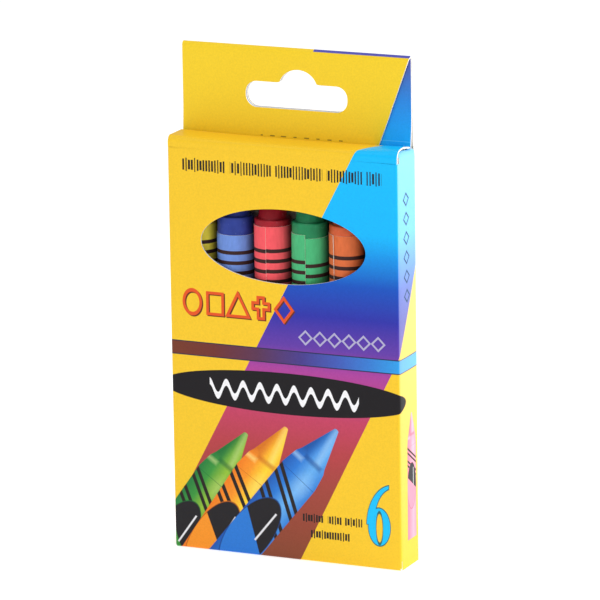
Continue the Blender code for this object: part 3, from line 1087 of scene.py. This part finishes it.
def make_wax(colour, x, finish):
    """One stick, from its softly rounded butt to its blunt tip, ring by ring."""
    low = WAX_LOW.z
    bpy.ops.mesh.primitive_circle_add(vertices=64, radius=WAX_RADIUS - 0.5 * MM,
                                      location=(0, 0, low), fill_type="NGON")
    stick = bpy.context.object
    stick.name = stick.data.name = f"crayon_{colour}_stick"
    settle(stick)
    rings = ((WAX_RADIUS - 0.15 * MM, low + 0.15 * MM), (WAX_RADIUS, low + 0.5 * MM),
             (WAX_RADIUS, SHOULDER_Z - 0.35 * MM), (WAX_RADIUS - 0.08 * MM, SHOULDER_Z - 0.1 * MM),
             (WAX_RADIUS - 0.3 * MM, SHOULDER_Z), (WAX_RADIUS - 0.72 * MM, SHOULDER_Z + 0.02 * MM),
             (WAX_RADIUS - 0.8 * MM, SHOULDER_Z + 0.15 * MM), (1.45 * MM, WAX_HIGH.z - 0.6 * MM),
             (1.25 * MM, WAX_HIGH.z - 0.2 * MM), (0.9 * MM, WAX_HIGH.z))
    radius, height = WAX_RADIUS - 0.5 * MM, low
    pick(stick, "FACE", lambda middle, normal: True)
    for next_radius, next_height in rings:
        bpy.ops.mesh.extrude_region_move(
            TRANSFORM_OT_translate={"value": (0, 0, next_height - height)})
        scale = next_radius / radius
        bpy.ops.transform.resize(value=(scale, scale, 1), center_override=(0, 0, next_height))
        radius, height = next_radius, next_height
    leave_edit()
    face_out(stick, lambda middle, normal: normal.z < -0.7 and middle.z < low + TOUCH)
    stick.location.x = x
    settle(stick)
    finish_with(stick, finish)
    smooth(stick, 50)
    return stick


def make_wrapper(colour, x, top, seam, jump, lift, finish):
    """Roll a flat strip round the stick, a little more than once, and lift its loose end."""
    turn = 2 * math.pi * WRAP_TURNS
    sheet = new_sheet(f"crayon_{colour}_paper", (0, 0, 0), 1, 1)
    split_across(sheet, 0, 119)
    split_across(sheet, 2, 29)
    height = top - PAPER_FOOT_Z
    finish_with(sheet, finish, RAW_PAPER, RAW_PAPER)
    lay_art(sheet, lambda point, normal: (
        (point.x + 0.5) * turn * PAPER_RADIUS / MM, (PAPER_FOOT_Z + (point.z + 0.5) * height) / MM))
    for vertex in sheet.data.vertices:
        across, up = vertex.co.x + 0.5, vertex.co.z + 0.5
        angle = math.radians(seam) + turn * (across - 1)
        loose = max(0.0, (across - LOOSE_FROM) / (1 - LOOSE_FROM))
        radius = PAPER_RADIUS - PAPER * (1.02 if across < 0.06 else 0.0)
        radius += lift * MM * loose ** 2 * up ** 6
        z = PAPER_FOOT_Z + up * height + jump * MM * (0.5 - across)
        vertex.co = (x + radius * math.sin(angle), -radius * math.cos(angle), z)
    solid = sheet.modifiers.new("paper", "SOLIDIFY")
    solid.thickness, solid.offset = PAPER, -1.0
    solid.material_offset, solid.material_offset_rim = 1, 2
    apply_all(sheet)
    smooth(sheet)
    return sheet


for i, (colour, wax_shade, paper_shade, band_z, seam, jump, lift) in enumerate(CRAYONS):
    x = (i - (len(CRAYONS) - 1) / 2) * CRAYON_PITCH
    stick = make_wax(colour, x, wax_finish(colour, wax_shade, x))
    paper = make_wrapper(colour, x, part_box(f"crayon_{colour}_wrapper")[1].z, seam, jump, lift,
                         paper_finish(colour, paper_shade, band_z, x))
    for piece, part, slot in ((stick, "wax", "wax_"), (paper, "wrapper", "paper_")):
        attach(piece, "crayon_" + colour)
        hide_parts(f"crayon_{colour}_{part}")
        slot + colour


# --- Studio --------------------------------------------------------------------------
# A pale floor that glows a little, a broad lamp low at the right, a second one high in
# front, and white air all round.

def floor_finish():
    made, tree, shader = new_finish("studio_floor", 0.6, specular=0.2)
    cloud = speckle(tree, 3.0, 1.0)
    colour = paint((0.93, 0.93, 0.93, 1), (0.96, 0.96, 0.96, 1), cloud)
    tree.links.new(colour, shader.inputs["Base Color"])
    shader.inputs["Emission Color"].default_value = (1, 1, 1, 1)
    shader.inputs["Emission Strength"].default_value = 0.42
    return made


def make_floor():
    bpy.ops.mesh.primitive_plane_add(size=6, location=(0, 0, -0.02 * MM))
    floor = bpy.context.object
    floor.name = floor.data.name = "studio_floor"
    settle(floor)
    finish_with(floor, floor_finish())


def lamp(name, azimuth, elevation, distance, size, power, aim=(0, 0, 0.05)):
    data = bpy.data.lights.new(name, "AREA")
    data.shape, data.size, data.energy = "SQUARE", size, power
    made = bpy.data.objects.new(name, data)
    a, e = math.radians(azimuth), math.radians(elevation)
    away = Vector((math.sin(a) * math.cos(e), -math.cos(a) * math.cos(e), math.sin(e)))
    made.location = Vector(aim) + away * distance
    made.rotation_euler = (-away).to_track_quat("-Z", "Y").to_euler()
    bpy.context.scene.collection.objects.link(made)
    return made


make_floor()
lamp("side_lamp", 104, 24, 0.9, 0.7, 7)
lamp("front_lamp", -8, 62, 1.2, 0.7, 5.7)
world = bpy.data.worlds.new("studio_air")
world.use_nodes = True
world.node_tree.nodes["Background"].inputs["Color"].default_value = (1, 1, 1, 1)
world.node_tree.nodes["Background"].inputs["Strength"].default_value = 0.45
bpy.context.scene.world = world
bpy.context.scene.view_settings.view_transform = "Standard"

AIM = Vector((1.652, 0, 54.9)) * MM
AZIMUTH, ELEVATION, DISTANCE = math.radians(24.11), math.radians(13.67), 1069.9 * MM
camera = bpy.data.objects.new("camera", bpy.data.cameras.new("camera"))
camera.data.lens, camera.data.sensor_width = 308.5, 36.0
camera.data.clip_start, camera.data.clip_end = 0.05, 20
away = Vector((math.sin(AZIMUTH) * math.cos(ELEVATION),
               -math.cos(AZIMUTH) * math.cos(ELEVATION), math.sin(ELEVATION)))
camera.location = AIM + away * DISTANCE
camera.rotation_euler = (-away).to_track_quat("-Z", "Y").to_euler()
camera.rotation_euler.rotate_axis("Z", math.radians(-0.855))
bpy.context.scene.collection.objects.link(camera)
bpy.context.scene.camera = camera
